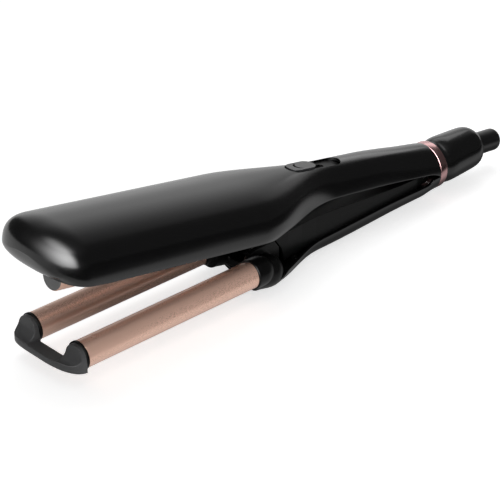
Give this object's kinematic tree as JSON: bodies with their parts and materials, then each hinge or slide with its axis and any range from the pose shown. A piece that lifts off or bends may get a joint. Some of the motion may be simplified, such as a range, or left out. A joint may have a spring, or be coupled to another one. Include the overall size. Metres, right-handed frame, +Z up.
{
  "type": "hair waver",
  "caption": "Hair waver with sprung jaws: a hooded upper arm presses a heated barrel between the lower arm's barrels; slide switch on top, swivelling cord outlet at the rear.",
  "frame": {"origin": "middle of the bounding box at rest, on the surface that the part lies on", "axes": "+X along the lower arm from the barrels' tips to the cord outlet, +Y to the left seen from the cord end towards +X, +Z up through the upper arm"},
  "size_m": [0.3544, 0.0612, 0.0835],
  "materials": {
    "black_shell": "piano-black moulded casing",
    "sleeve_black": "black moulded sleeve",
    "inner_black": "black heat-resistant plastic",
    "barrel_cap_grey": "dark grey end cap",
    "tip_black": "black cool tip",
    "button_black": "glossy dark button",
    "rose_coating": "rose-gold coated aluminium",
    "rose_trim": "rose metallic trim",
    "washer_black": "black insulating washer",
    "steel": "zinc-plated steel",
    "heater_ceramic": "ceramic heater in an aluminium frame",
    "board_green": "printed circuit board",
    "switch_metal": "slide switch body"
  },
  "bodies": {
    "lower_arm": {"lower_shell": "black_shell", "lower_inner_cover": "inner_black", "barrel_fork": "inner_black", "near_barrel": "rose_coating", "far_barrel": "rose_coating", "near_heater": "heater_ceramic", "far_heater": "heater_ceramic", "tip_bridge": "tip_black", "tip_washers": "washer_black", "hinge_pin": "steel", "hinge_spring": "steel", "shell_screws": "steel", "rear_housing": "black_shell", "trim_ring": "rose_trim"},
    "upper_arm": {"head_cover": "black_shell", "head_tray": "inner_black", "upper_barrel": "rose_coating", "upper_barrel_cap": "barrel_cap_grey", "upper_barrel_clamp": "inner_black", "upper_heater": "heater_ceramic", "upper_inner_cover": "inner_black", "circuit_board": "board_green", "slide_switch": "switch_metal", "switch_guide": "inner_black", "hinge_block": "inner_black", "cover_screws": "steel"},
    "switch": {"switch_button": "button_black"},
    "swivel": {"swivel_carrier": "inner_black", "swivel_pins": "steel"},
    "sleeve": {"cord_sleeve": "sleeve_black"}
  },
  "joints": [
    {"name": "jaw", "type": "hinge", "parent": "lower_arm", "child": "upper_arm", "pos_m": [0.10518, 0, 0.0186], "axis": [0, -1, 0], "range_deg": [0, 9.8], "stiffness_Nm_per_rad": 2, "springref_deg": -18.91},
    {"name": "switch_slide", "type": "slide", "parent": "upper_arm", "child": "switch", "axis": [0.9854, 0, -0.1702], "range_m": [0, 0.013]},
    {"name": "swivel_spin", "type": "hinge", "parent": "lower_arm", "child": "swivel", "pos_m": [0.15018, 0, 0.0191], "axis": [1, 0, 0], "continuous": true},
    {"name": "swivel_tilt", "type": "hinge", "parent": "swivel", "child": "sleeve", "pos_m": [0.15018, 0, 0.0191], "axis": [0, 1, 0], "range_deg": [-14, 2]}
  ]
}
